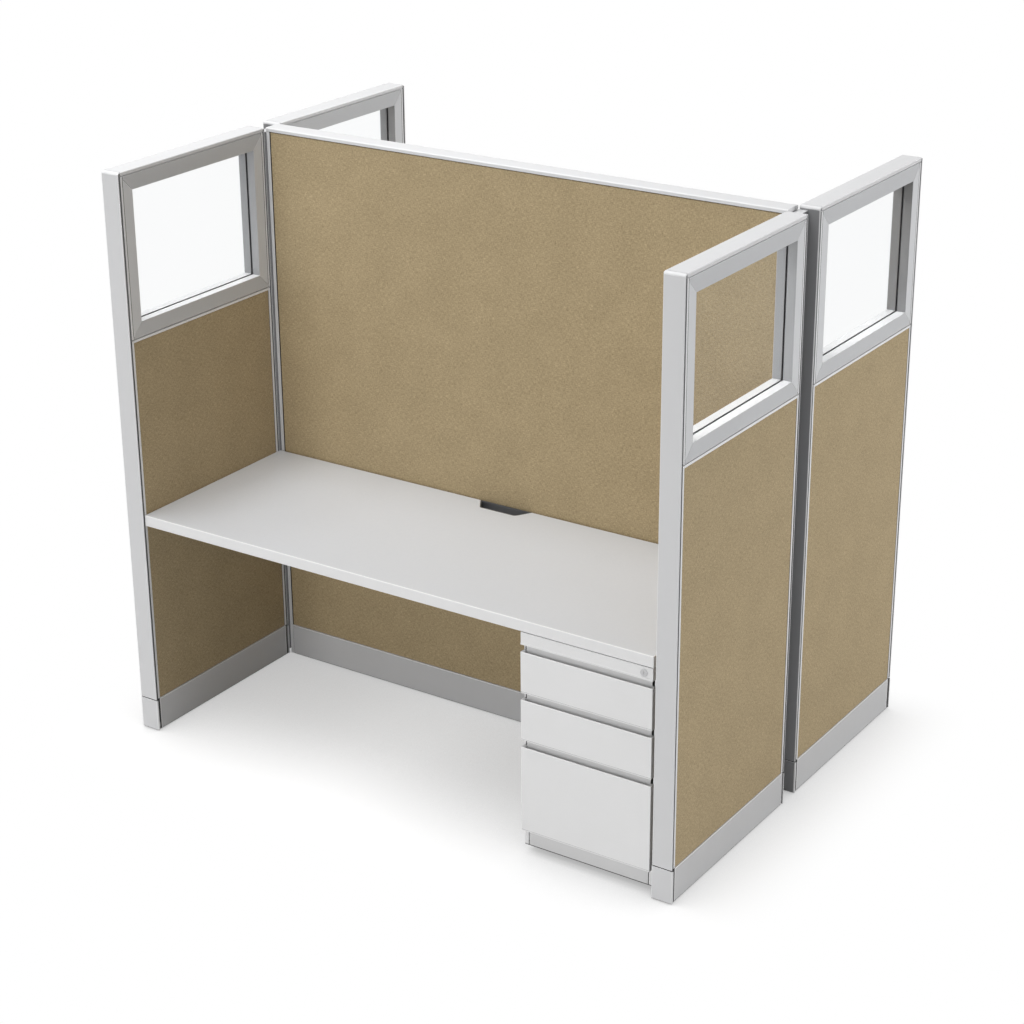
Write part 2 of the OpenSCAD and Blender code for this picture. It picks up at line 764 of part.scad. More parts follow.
module levelling_glides() color(DARK) {
    on_wings() for (y = [glide_in, wing_d - glide_in])
        translate([0, y, 0]) glide(glide_r, glide_foot_h, frame_lift);
    on_spine() for (y = [glide_in, spine_w / 2, spine_w - glide_in])
        translate([0, y, 0]) glide(glide_r, glide_foot_h, frame_lift);
    for (s = STATIONS) in_pedestal(s)
        for (x = [ped_glide_in, ped_w - ped_glide_in])
            for (y = [case_y + ped_glide_in, ped_d - ped_glide_in])
                translate([x, y, 0]) glide(ped_glide_r, glide_foot_h, ped_lift);
}

// Half width of the cable notch at a depth from the back edge, drawn in by inset
function notch_x(depth, inset) =
    let (run = (notch_back_w - notch_front_w) / 2, side = sqrt(run * run + notch_d * notch_d))
    notch_front_w / 2 + run * (notch_d - depth) / notch_d - inset * side / notch_d;

// Right half of the notch's outline, from its back edge round the corner
function notch_half(inset, back) =
    let (
        run = (notch_back_w - notch_front_w) / 2,
        slope = atan2(run, notch_d),
        depth = notch_d - notch_r,
        centre = [notch_x(depth, notch_r), depth],
        steps = 6
    )
    concat(
        [[notch_x(back, inset), back]],
        [for (i = [0:steps]) let (a = slope + (90 - slope) * i / steps)
            centre + (notch_r - inset) * [cos(a), sin(a)]]
    );

// Notch outline drawn in by inset, with its back edge at a depth
module notch_2d(inset, back) {
    half = notch_half(inset, back);
    n = len(half);
    mirrored = [for (i = [0:n - 1]) [-half[n - 1 - i][0], half[n - 1 - i][1]]];
    translate([-notch_shift, -desk_back]) mirror([0, 1]) polygon(concat(half, mirrored));
}

// Places of the screws in one worksurface
function screw_places() = concat(
    [for (x = bracket_places) for (s = bracket_screw_shares) [x + bracket_w / 4, -tile_face - s * bracket_l]],
    [for (s = rail_screw_shares) [rail_leg / 2 - bay_w / 2, rail_y() + s * rail_l]]
);

function rail_y() = -(desk_front + desk_back) / 2 - rail_l / 2;

module screw_shanks(r) {
    for (p = screw_places()) translate([p[0], p[1], desk_under - bracket_sheet])
        cylinder(h = bracket_sheet + screw_bite, r = r);
}

module worksurface() color(LAMINATE) difference() {
    span([-desk_left, -desk_front, desk_under], [desk_right, -desk_back, desk_h]);
    translate([0, 0, desk_under - over]) linear_extrude(desk_t + 2 * over) notch_2d(0, -over);
    screw_shanks(screw_r + screw_play);
}

module notch_liners() color(DARK) for (s = STATIONS) on_station(s) difference() {
    translate([0, 0, desk_under]) linear_extrude(desk_t - liner_drop) notch_2d(liner_play, 0);
    translate([0, 0, desk_under - over]) linear_extrude(desk_t + 2 * over)
        notch_2d(liner_play + liner_wall, liner_wall);
}

module cantilever_bracket() {
    half = bracket_w / 2;
    span([-half, -tile_face - bracket_sheet, desk_under - bracket_h], [half, -tile_face, desk_under]);
    span([-half, -tile_face - bracket_l, desk_under - bracket_sheet], [half, -tile_face, desk_under]);
    translate([-bracket_sheet / 2, -tile_face, desk_under]) rotate([90, 0, 90])
        linear_extrude(bracket_sheet)
            polygon([[0, 0], [0, -bracket_h], [-bracket_l, -bracket_nose], [-bracket_l, 0]]);
}

module cantilever_brackets() color(STEEL) for (s = STATIONS) on_station(s) difference() {
    for (x = bracket_places) translate([x, 0, 0]) cantilever_bracket();
    screw_shanks(screw_r + screw_play);
}

// Angle under the worksurface's end beside the knee space
module side_rails() color(STEEL) for (s = STATIONS) on_station(s) difference() {
    x = -bay_w / 2 - tile_recess;
    union() {
        span([x, rail_y(), desk_under - rail_leg], [x + rail_sheet, rail_y() + rail_l, desk_under]);
        span([x, rail_y(), desk_under - rail_sheet], [x + rail_leg, rail_y() + rail_l, desk_under]);
    }
    screw_shanks(screw_r + screw_play);
}

module worksurface_screws() color(STEEL) for (s = STATIONS) on_station(s) {
    for (i = [0:len(screw_places()) - 1]) {
        p = screw_places()[i];
        sheet = i < 2 * len(bracket_places) ? bracket_sheet : rail_sheet;
        translate([p[0], p[1], desk_under - sheet]) {
            cylinder(h = sheet + screw_bite, r = screw_r);
            translate([0, 0, -screw_head_h]) cylinder(h = screw_head_h, r = screw_head_r);
        }
    }
}

// Bent sheet case with a recessed base, and the top strip that carries the lock
module pedestal_case() color(OFF_WHITE) {
    difference() {
        span([0, case_y, ped_lift], [ped_w, ped_d, desk_under]);
        span([case_sheet, case_y - over, ped_lift + case_sheet],
             [ped_w - case_sheet, ped_d - case_sheet, desk_under - case_sheet]);
    }
    for (m = [0, 1]) translate([m * ped_w, 0, 0]) mirror([m, 0, 0]) {
        span([0, case_y, ped_lift], [hem_w, case_y + hem_t, desk_under]);
        span([0, case_y, ped_lift], [base_flange_w, case_y + hem_t, file_front_z + base_rise]);
    }
    base_in = base_flange_w + base_gap;
    span([base_in, case_y, ped_lift], [ped_w - base_in, case_y + hem_t, file_front_z + base_rise]);
    top_strip();
}

module top_strip() {
    s = case_sheet;
    back = case_y - strip_seam;
    outline = [[0, 0], [0, strip_lip_h], [strip_lip_t, strip_lip_h], [strip_lip_t, strip_h],
               [back, strip_h], [back, 0]];
    hollow = [[strip_lip_t + s, s], [strip_lip_t + s, strip_h - s], [case_y + over, strip_h - s],
              [case_y + over, s]];
    translate([0, 0, strip_z]) difference() {
        rotate([90, 0, 90]) linear_extrude(ped_w) polygon(outline);
        translate([s, 0, 0]) rotate([90, 0, 90]) linear_extrude(ped_w - 2 * s) polygon(hollow);
        translate([lock_x, -over, lock_z - strip_z]) rotate([-90, 0, 0])
            cylinder(h = strip_lip_t + s + 2 * over, r = plug_r + plug_play);
    }
}

// Drawer front with a finger trough behind its upper lip and a flange behind the finger gap
module drawer_front(d) color(OFF_WHITE) {
    z0 = d[0];
    z1 = d[0] + d[1];
    s = front_sheet;
    difference() {
        span([0, 0, z0], [ped_w, front_t, z1]);
        span([pull_inset, lip_t, z1 - trough_d], [ped_w - pull_inset, front_t - flange_t, z1 + over]);
        difference() {
            span([s, s, z0 + s], [ped_w - s, front_t + over, z1 - trough_d - s]);
            for (x = [rib_in, ped_w - rib_in - rib_w]) span([x, 0, z0], [x + rib_w, front_t, z1]);
        }
    }
    span([pull_inset, front_t - flange_t, z1 - trough_d],
         [ped_w - pull_inset, front_t, z1 + pull_gap - flange_play]);
}

// Mirrored pair of C channels on both sides of a pedestal. Places across the slide gap start at the
// case's side: the web starts at web and the flanges reach to edge
module channel_pair(web, edge, h, z) {
    from = min(web, edge);
    to = max(web + slide_sheet, edge);
    for (m = [0, 1]) translate([m * ped_w, 0, 0]) mirror([m, 0, 0]) translate([case_sheet, slide_y, z]) {
        span([web, 0, -h / 2], [web + slide_sheet, slide_l, h / 2]);
        span([from, 0, -h / 2], [to, slide_l, slide_sheet - h / 2]);
        span([from, 0, h / 2 - slide_sheet], [to, slide_l, h / 2]);
    }
}

function slide_z(d) = d[0] + tub_lift + d[3];

module fixed_slides() color(STEEL) for (s = STATIONS) in_pedestal(s) {
    for (d = [UPPER, LOWER]) channel_pair(0, slide_gap - member_clear, box_slide_h, slide_z(d));
    channel_pair(0, file_fixed_reach, file_slide_h, slide_z(FILE));
}

module file_middle_slides() color(STEEL) {
    channel_pair(member_clear, file_mid_reach, mid_h, slide_z(FILE));
}

// Open tub with its slide members on both sides and its catch on the right
module drawer_tub(d, edge, h) color(STEEL) {
    z = d[0] + tub_lift;
    top = z + d[2];
    s = tub_sheet;
    catch_y = bar_y + hook_in + bar_t + catch_lead;
    difference() {
        span([tub_x, front_t, z], [ped_w - tub_x, tub_y, top]);
        span([tub_x + s, front_t + s, z + s], [ped_w - tub_x - s, tub_y - s, top + over]);
    }
    channel_pair(slide_gap - member_seam - slide_sheet, edge, h, slide_z(d));
    span([ped_w - tub_x + member_seam, catch_y, top - catch_drop - catch_h],
         [ped_w - tub_x + catch_w, catch_y + catch_t, top - catch_drop]);
}

module box_tub(d) {
    drawer_tub(d, member_clear, box_slide_h - nest);
}

module file_tub() {
    drawer_tub(FILE, file_fixed_reach, mid_h - nest);
}

// Lock plug with its bezel, cam and pin, drawn unlocked
module lock_plug() color(STEEL) {
    bezel_back = strip_lip_t - bezel_play;
    translate([lock_x, 0, lock_z]) rotate([-90, 0, 0]) difference() {
        union() {
            translate([0, 0, bezel_back - bezel_h]) cylinder(h = bezel_h, r = bezel_r);
            cylinder(h = cam_y, r = plug_r);
        }
        translate([-key_w / 2, -key_l / 2, bezel_back - bezel_h - over]) cube([key_w, key_l, key_d + over]);
    }
    translate([lock_x, cam_y, lock_z]) rotate([0, cam_angle, 0]) {
        translate([0, 0, -cam_w / 2]) cube([cam_reach, cam_t, cam_w]);
        rotate([-90, 0, 0]) {
            cylinder(h = cam_t, r = cam_w / 2);
            translate([cam_reach, 0, 0]) cylinder(h = cam_t, r = cam_w / 2);
            translate([cam_reach, 0, 0]) cylinder(h = pin_end - cam_y, r = cam_pin_r);
        }
    }
}

// Lock bar with a slotted flag for the cam's pin and one hook for each drawer, drawn unlocked
module lock_bar() color(STEEL) {
    hooks = [for (d = [UPPER, LOWER, FILE]) d[0] + tub_lift + d[2] - hook_drop];
    slot_h = cam_pin_r + 2 * cam_play;
    difference() {
        union() {
            span([bar_x, bar_y, hooks[2]], [bar_x + bar_t, bar_y + bar_w, pin_z + flag_h]);
            span([lock_x, bar_y, pin_z - flag_h], [bar_x + bar_t, bar_y + bar_t, pin_z + flag_h]);
        }
        span([pin_x - cam_pin_r - cam_play, bar_y - over, pin_z - slot_h],
             [lock_x + cam_reach + cam_pin_r + cam_play, bar_y + bar_t + over, pin_z + slot_h]);
    }
    for (z = hooks) span([ped_w - tub_x + hook_tip, bar_y + hook_in, z],
                         [bar_x + bar_t, bar_y + hook_in + bar_t, z + hook_h]);
}

for (w = WINGS) {
    on_wing(w) wing_top_cap();
    wing_end_trims(w);
    on_wing(w) window_frame();
    on_wing(w) window_glass();
    on_wing(w) wing_tiles();
}
wing_frames();
foot_covers();
edge_strips();
raceway_covers();
glazing_gaskets();
levelling_glides();
spine_frame();
spine_top_cap();
spine_end_trims();
on_spine() spine_tile();  // spine_front_tile
on_spine() mirror([1, 0, 0]) spine_tile();  // spine_rear_tile
junction_posts();
junction_bolts();
notch_liners();
cantilever_brackets();
side_rails();
worksurface_screws();
fixed_slides();
for (s = STATIONS) {
    on_station(s) worksurface();
    in_pedestal(s) pedestal_case();
    in_pedestal(s) file_middle_slides();
    in_pedestal(s) drawer_front(UPPER);
    in_pedestal(s) box_tub(UPPER);
    in_pedestal(s) drawer_front(LOWER);
    in_pedestal(s) box_tub(LOWER);
    in_pedestal(s) drawer_front(FILE);
    in_pedestal(s) file_tub();
    in_pedestal(s) lock_plug();
    in_pedestal(s) lock_bar();
}
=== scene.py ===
"""Looks of the cubicle workstation, in metres, in the frame of its solids."""

import json
import math

import bmesh
import bpy
from mathutils import Matrix, Vector


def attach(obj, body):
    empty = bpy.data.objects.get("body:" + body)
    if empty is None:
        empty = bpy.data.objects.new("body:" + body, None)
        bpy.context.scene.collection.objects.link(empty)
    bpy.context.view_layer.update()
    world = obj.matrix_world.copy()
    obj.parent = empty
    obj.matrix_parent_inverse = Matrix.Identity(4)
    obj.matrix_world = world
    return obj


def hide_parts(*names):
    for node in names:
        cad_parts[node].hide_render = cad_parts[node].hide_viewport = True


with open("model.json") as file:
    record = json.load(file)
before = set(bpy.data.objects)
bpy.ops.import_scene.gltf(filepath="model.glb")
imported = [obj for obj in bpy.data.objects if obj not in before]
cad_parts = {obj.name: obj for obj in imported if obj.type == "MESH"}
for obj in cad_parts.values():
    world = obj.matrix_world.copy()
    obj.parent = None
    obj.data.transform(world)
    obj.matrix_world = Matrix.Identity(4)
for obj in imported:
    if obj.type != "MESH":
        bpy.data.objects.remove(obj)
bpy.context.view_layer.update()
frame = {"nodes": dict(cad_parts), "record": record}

RECORD = frame["record"]
NODES = frame["nodes"]
BODY = {node: body for body, nodes in RECORD["behaviour"]["bodies"].items() for node in nodes}
SLOT = {part["node"]: part["material_slot"] for part in RECORD["subparts"]}
WINGS = ("front_left", "front_right", "rear_left", "rear_right")
STATIONS = ("front", "rear")
SCENE = bpy.context.scene
MM = 0.001

# How the faces and edges of the solids are told apart
WELD = 3e-6  # vertices closer than this are one
ON_PLANE = 1e-5  # how far off a plane a vertex may lie and still be on it
FLAT_TURN = math.radians(0.4)  # faces that turn less than this are one flat face
SHARP_TURN = math.radians(48)  # edges that turn more than this aren't shaded smooth
SQUARE_ON = 0.9  # least part of its normal that a face has along the axis that it faces
FLAT_SIDE = 0.995  # a face with no larger part of its normal along an axis is on a rounded edge
WING_X = 0.9  # what lies further from the middle than this belongs to a wing
X, Y, Z = range(3)


# Materials

class Shader:
    """A material built from nodes that read the place on the object in metres."""

    def __init__(self, name):
        self.material = bpy.data.materials.new(name)
        self.material.use_nodes = True
        self.tree = self.material.node_tree
        self.tree.nodes.clear()
        self.place = self.node("ShaderNodeTexCoord").outputs["Object"]

    def feed(self, socket, value):
        """Links an output to a socket, or sets the socket to a value."""
        if isinstance(value, bpy.types.NodeSocket):
            self.tree.links.new(value, socket)
        else:
            colour = isinstance(value, tuple) and socket.type == "RGBA" and len(value) == 3
            socket.default_value = (*value, 1.0) if colour else value

    def node(self, kind, inputs=None, **settings):
        made = self.tree.nodes.new(kind)
        for key, value in settings.items():
            setattr(made, key, value)
        for key, value in (inputs or {}).items():
            self.feed(made.inputs[key], value)
        return made

    def stretch(self, scale, vector=None):
        """The place, or vector, with each axis scaled."""
        inputs = {"Vector": vector or self.place, "Scale": scale}
        return self.node("ShaderNodeMapping", inputs).outputs[0]

    def noise(self, scale, detail=2.0, vector=None, rough=0.5):
        """Noise whose grains are about one over scale metres wide."""
        return self.node("ShaderNodeTexNoise", {
            "Vector": vector or self.place, "Scale": scale, "Detail": detail, "Roughness": rough,
        }).outputs[0]

    def span(self, value, low, high, start=0.3, end=0.7):
        """Value from start to end mapped to low to high."""
        return self.node("ShaderNodeMapRange", {
            "Value": value, "From Min": start, "From Max": end, "To Min": low, "To Max": high,
        }).outputs[0]

    def around(self, value, less, more, scale, detail=3.0):
        """A value that wanders from less below it to more above it, in patches of noise."""
        return self.span(self.noise(scale, detail), value - less, value + more)

    def maths(self, operation, a, b=0.0):
        return self.node("ShaderNodeMath", {0: a, 1: b}, operation=operation).outputs[0]

    def shade(self, colour, factor):
        """Colour times a factor that varies over the surface."""
        inputs = {0: colour, "Scale": factor}
        return self.node("ShaderNodeVectorMath", inputs, operation="SCALE").outputs[0]

    def mix(self, factor, a, b):
        """Colour a where factor is 0 and colour b where it is 1."""
        # The node has sockets of the same names for each type of data, and these are the colours'
        colour_a, colour_b, result = 6, 7, 2
        inputs = {"Factor": factor, colour_a: a, colour_b: b}
        return self.node("ShaderNodeMix", inputs, data_type="RGBA").outputs[result]

    def bump(self, height, distance, strength):
        inputs = {"Height": height, "Distance": distance, "Strength": strength}
        return self.node("ShaderNodeBump", inputs).outputs[0]

    def finish(self, **sockets):
        """Ends the material with a Principled shader. Socket names have _ for a space."""
        inputs = {key.replace("_", " "): value for key, value in sockets.items()}
        return self.out(self.node("ShaderNodeBsdfPrincipled", inputs))

    def out(self, shader):
        """Ends the material with a shader."""
        self.node("ShaderNodeOutputMaterial", {"Surface": shader.outputs[0]})
        return self.material


def painted(name, colour, rough=0.42, peel=0.5, grain=0.012):
    """Powder-coated metal: orange peel, a fine grain and slow changes of tone."""
    s = Shader(name)
    slow = s.around(1.0, grain, grain, scale=2.6)
    fine = s.around(1.0, grain, grain, scale=620.0, detail=1.0)
    return s.finish(
        Base_Color=s.shade(colour, s.maths("MULTIPLY", slow, fine)),
        Roughness=s.around(rough, 0.05, 0.06, scale=37.0),
        Normal=s.bump(s.noise(scale=430.0), distance=0.06 * MM, strength=peel),
    )


def moulded(name, colour, rough=0.55, grain=0.04):
    """Moulded plastic or rubber: a fine leathery grain and patches of lighter and darker tone."""
    s = Shader(name)
    return s.finish(
        Base_Color=s.shade(colour, s.around(1.0, grain, grain, scale=11.0, detail=4.0)),
        Roughness=s.around(rough, 0.07, 0.09, scale=60.0),
        Normal=s.bump(s.noise(scale=900.0), distance=0.08 * MM, strength=0.55),
    )


def plated(name, colour, rough=0.34, along=(9.0, 900.0, 900.0)):
    """Plated steel with the fine lines of rolling along one axis and cloudy passivation."""
    s = Shader(name)
    lines = s.noise(scale=1.0, vector=s.stretch(along))
    clouds = s.around(1.0, 0.07, 0.06, scale=28.0, detail=4.0)
    return s.finish(
        Base_Color=s.shade(colour, clouds),
        Metallic=1.0,
        Roughness=s.span(lines, rough - 0.08, rough + 0.1),
        Normal=s.bump(lines, distance=0.04 * MM, strength=0.4),
    )


def woven(name, dark, light, thread=1.7 * MM):
    """Panel cloth: a plain weave of uneven heathered yarns, with slubs and a slow mottle."""
    s = Shader(name)
    xyz = s.node("ShaderNodeSeparateXYZ", {0: s.place}).outputs
    across, up = s.maths("ADD", xyz[X], xyz[Y]), xyz[Z]
    cloth = s.node("ShaderNodeCombineXYZ", {X: across, Y: up}).outputs[0]

    def streaks(scale_across, scale_up, detail, rough=0.5):
        """Noise with a grain of its own across and up the cloth."""
        return s.noise(1.0, detail, s.stretch((scale_across, scale_up, 1.0), cloth), rough)

    weft = s.span(streaks(95.0, 520.0, detail=3.0, rough=0.6), -0.5, 0.5)
    warp = s.span(streaks(560.0, 110.0, detail=3.0, rough=0.6), -0.5, 0.5)
    yarns = s.maths("ADD", weft, warp)
    slubs = s.span(streaks(70.0, 330.0, detail=1.0), 0.0, 1.0, start=0.60, end=0.78)
    knots = s.span(streaks(300.0, 62.0, detail=1.0), 0.0, 1.0, start=0.62, end=0.80)
    flecks = s.maths("SUBTRACT", slubs, knots)
    mottle = s.noise(9.0, 4.0, cloth)
    yarn_share, fleck_share = 0.62, 0.42
    heather = s.maths("ADD", s.maths("MULTIPLY", yarns, yarn_share),
                      s.maths("MULTIPLY", flecks, fleck_share))
    tone = s.maths("ADD", heather, s.span(mottle, 0.44, 0.56))
    # Threads go over and under each other
    turn = 2 * math.pi / thread
    over, under = (s.maths("SINE", s.maths("MULTIPLY", way, turn)) for way in (across, up))
    threads, thread_share = s.maths("MULTIPLY", over, under), 0.35
    relief = s.maths("ADD", s.maths("MULTIPLY", threads, thread_share), yarns)
    return s.finish(
        Base_Color=s.mix(tone, dark, light),
        Roughness=s.span(mottle, 0.86, 0.96),
        Specular_IOR_Level=0.18,
        Sheen_Weight=0.18,
        Sheen_Roughness=0.5,
        Normal=s.bump(relief, distance=0.22 * MM, strength=0.6),
    )


def laminate(name, colour, rough=0.4, fleck=0.018):
    """Pale laminate: a tight fleck and a soft pebble texture that breaks up its shine."""
    s = Shader(name)
    flecks = s.around(1.0, fleck, fleck, scale=520.0, detail=2.0)
    slow = s.around(1.0, 0.008, 0.008, scale=3.0)
    return s.finish(
        Base_Color=s.shade(colour, s.maths("MULTIPLY", flecks, slow)),
        Roughness=s.around(rough, 0.05, 0.07, scale=85.0),
        Normal=s.bump(s.noise(scale=700.0), distance=0.05 * MM, strength=0.35),
    )


def glazing(name, tint):
    """Clear float glass with a faint, slightly uneven cool tint. Lamps shine through it."""
    s = Shader(name)
    pane = s.node("ShaderNodeBsdfPrincipled", {
        "Base Color": s.shade(tint, s.span(s.noise(3.0), 0.996, 1.0)),
        "Roughness": 0.0,
        "IOR": 1.13,
        "Specular IOR Level": 0.06,
        "Transmission Weight": 1.0,
    })
    clear = s.node("ShaderNodeBsdfTransparent", {"Color": tint})
    shadow = s.node("ShaderNodeLightPath").outputs["Is Shadow Ray"]
    inputs = {0: shadow, 1: pane.outputs[0], 2: clear.outputs[0]}
    return s.out(s.node("ShaderNodeMixShader", inputs))


# By the record's material slots
MATERIALS = {
    "light_trim": painted("trim_paint", (0.69, 0.692, 0.70)),
    "window_grey": painted("window_satin", (0.563, 0.57, 0.583), 0.38, 0.25),
    "raceway_grey": painted("raceway_paint", (0.60, 0.602, 0.61), 0.46),
    "tan_fabric": woven("panel_cloth", (0.262, 0.202, 0.109), (0.557, 0.438, 0.266)),
    "clear_glass": glazing("clear_glass", (0.968, 0.976, 0.980)),
    "black_rubber": moulded("glazing_rubber", (0.17, 0.17, 0.174), 0.7),
    "black_plastic": moulded("black_nylon", (0.018, 0.018, 0.02), 0.5),
    "charcoal_plastic": moulded("charcoal_plastic", (0.11, 0.112, 0.116), 0.45),
    # The hidden frames are painted near black as painted shade in the seams that show them
    "frame_steel": painted("frame_painted_shade", (0.035, 0.036, 0.038), 0.5, 0.7, 0.04),
    # The junction posts are painted mid grey as painted shade in the slot between the wings
    "post_grey": painted("post_painted_shade", (0.26, 0.262, 0.27), 0.5, 0.7),
    "zinc_steel": plated("zinc_plate", (0.55, 0.56, 0.58)),
    "white_laminate": laminate("white_laminate", (0.667, 0.684, 0.712)),
    "off_white_steel": painted("pedestal_paint", (0.83, 0.83, 0.83), 0.4, 0.4),
    "tub_steel": painted("tub_paint", (0.40, 0.40, 0.40), 0.45),
    "lock_nickel": plated("lock_nickel", (0.68, 0.68, 0.69), 0.30, (900.0, 900.0, 9.0)),
}
# Lighter copies of the paints for the faces of rounded edges: painted highlights
EDGES = {
    "light_trim": painted("trim_paint_edge", (0.81, 0.812, 0.82), 0.34, 0.2),
    "window_grey": painted("window_satin_edge", (0.80, 0.802, 0.81), 0.34, 0.2),
    "raceway_grey": painted("raceway_paint_edge", (0.84, 0.842, 0.85), 0.38, 0.2),
    "off_white_steel": painted("pedestal_paint_edge", (0.93, 0.93, 0.93), 0.34, 0.2),
}
EDGE_BAND = laminate("edge_band", (0.83, 0.83, 0.83), 0.34, 0.008)
# The band's rounded corners in a lighter copy of the laminate: painted highlight
BAND_HIGHLIGHT = laminate("edge_band_highlight", (0.93, 0.93, 0.93), 0.3, 0.004)
# Light strips, painted lighter than the trim paint as a painted highlight
STRIP_HIGHLIGHT = painted("strip_paint_highlight", (0.84, 0.842, 0.85), 0.36, 0.3)
# The window paint made lighter on the stiles than on the rails: painted light
STILE_LIT = painted("stile_satin_lit", (0.67, 0.678, 0.692), 0.36, 0.25)
# The window paint darkened on the sides round the opening: painted shade
REVEAL_SHADE = painted("window_reveal_shade", (0.38, 0.382, 0.39), 0.4, 0.25)
# Dark paint for the recessed lips of the end trims and the cut ends of the strips: painted shade
TRIM_REVEAL_SHADE = painted("trim_reveal", (0.22, 0.222, 0.226), 0.5, 0.3)
# Dark paint for the faces of trims and foot covers that look into the slot between the wings:
# painted shade
JUNCTION_SHADE = painted("junction_shade", (0.33, 0.332, 0.34), 0.5, 0.4)
# The pedestal paint darkened behind the finger pulls: painted shade
TROUGH_SHADE = painted("trough_shade", (0.70, 0.70, 0.70), 0.5, 0.3)
# The pedestal paint darkened on the set-back base: painted shade
PLINTH_SHADE = painted("plinth_shade", (0.70, 0.70, 0.70), 0.45, 0.4)
# A dark band painted where the fronts have a pressed line: painted shade of the line
PRESSED_LINE_SHADE = painted("pressed_line_shade", (0.42, 0.42, 0.42), 0.45, 0.3)
# Near-black lines and faces put where shade falls in gaps, grooves and under parts: painted shade
PAINTED_SHADOW = moulded("seam_shadow", (0.05, 0.05, 0.052), 0.7)


# Shapes

def merged(node):
    """A node's mesh with its flat faces whole again, as a bmesh."""
    bm = bmesh.new()
    bm.from_mesh(NODES[node].data)
    bmesh.ops.remove_doubles(bm, verts=bm.verts, dist=WELD)
    bmesh.ops.dissolve_limit(bm, angle_limit=FLAT_TURN, verts=bm.verts, edges=bm.edges)
    return bm


def show(node, bm, materials):
    """Makes the piece that stands for a node, riding on the node's body."""
    name = node + "_shown"
    mesh = bpy.data.meshes.new(name)
    bm.to_mesh(mesh)
    bm.free()
    # The solid's own normals don't fit the new faces
    if "custom_normal" in mesh.attributes:
        mesh.attributes.remove(mesh.attributes["custom_normal"])
    for material in materials:
        mesh.materials.append(material)
    mesh.shade_smooth()
    mesh.set_sharp_from_angle(angle=SHARP_TURN)
    piece = bpy.data.objects.new(name, mesh)
    SCENE.collection.objects.link(piece)
    weighted = piece.modifiers.new("normals", "WEIGHTED_NORMAL")
    weighted.keep_sharp = True
    weighted.weight = 90
    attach(piece, BODY[node])
    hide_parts(node)


def show_in(node, bm, pick, **finishes):
    """Shows a node's bmesh, each face in the finish whose name pick gives for it."""
    names = list(finishes)
    for face in bm.faces:
        face.material_index = names.index(pick(face))
    show(node, bm, finishes.values())


def cut(bm, axis, *places):
    """Splits the faces of a bmesh along planes across an axis, where a finish changes."""
    normal = [float(i == axis) for i in range(3)]
    for place in places:
        bmesh.ops.bisect_plane(bm, geom=[*bm.verts, *bm.edges, *bm.faces], dist=1e-6,
                               plane_co=[part * place for part in normal], plane_no=normal)


def outside(bm, turn):
    """The edges of a bmesh that stand out and turn by more than an angle."""
    return [edge for edge in bm.edges
            if len(edge.link_faces) == 2 and edge.is_convex and edge.calc_face_angle(0.0) > turn]


def bevel(bm, edges, width, segments):
    """Rounds edges of a bmesh, with the middle of each rounding on a circle."""
    bmesh.ops.bevel(bm, geom=edges, offset=width, offset_type="OFFSET", segments=segments,
                    profile=0.5, affect="EDGES", clamp_overlap=False)
    bm.normal_update()


def soften(bm, width, segments=2, angle=40):
    """Rounds the outside edges of a bmesh that turn by more than an angle in degrees."""
    bevel(bm, outside(bm, math.radians(angle)), width, segments)


def rounded(face):
    """Whether a face belongs to a rounded edge rather than to a flat side."""
    return max(abs(part) for part in face.normal) < FLAT_SIDE


def dress(node, width, angle=40):
    """Shows a node with its outside edges broken as on the real thing."""
    bm = merged(node)
    soften(bm, width, angle=angle)
    finishes = {"side": MATERIALS[SLOT[node]]}
    # The faces of rounded edges take a lighter copy of the paint, as a painted highlight
    if SLOT[node] in EDGES:
        finishes["edge"] = EDGES[SLOT[node]]
    show_in(node, bm, lambda face: "edge" if rounded(face) and "edge" in finishes else "side",
            **finishes)


def islands(node):
    """Lowest and highest corner of each separate solid of a node."""
    bm = merged(node)
    seen, found = set(), []
    for start in bm.verts:
        if start in seen:
            continue
        group, rest = {start}, [start]
        while rest:
            vert = rest.pop()
            for other in (edge.other_vert(vert) for edge in vert.link_edges):
                if other not in group:
                    group.add(other)
                    rest.append(other)
        seen |= group
        found.append(box_of(group))
    bm.free()
    return found


def box_of(verts):
    """Lowest and highest corner of vertices."""
    points = [vert.co for vert in verts]
    return tuple(Vector([pick(point[i] for point in points) for i in range(3)])
                 for pick in (min, max))


def steps(low, high, radius, arc=4, middle=6):
    """Places across a board, close together over its rounded edges."""
    curve = [radius * (1 - math.cos(i * math.pi / 2 / arc)) for i in range(arc + 1)]
    inner = [low + radius + (high - low - 2 * radius) * i / middle for i in range(1, middle)]
    return [low + c for c in curve] + inner + [high - c for c in reversed(curve)]


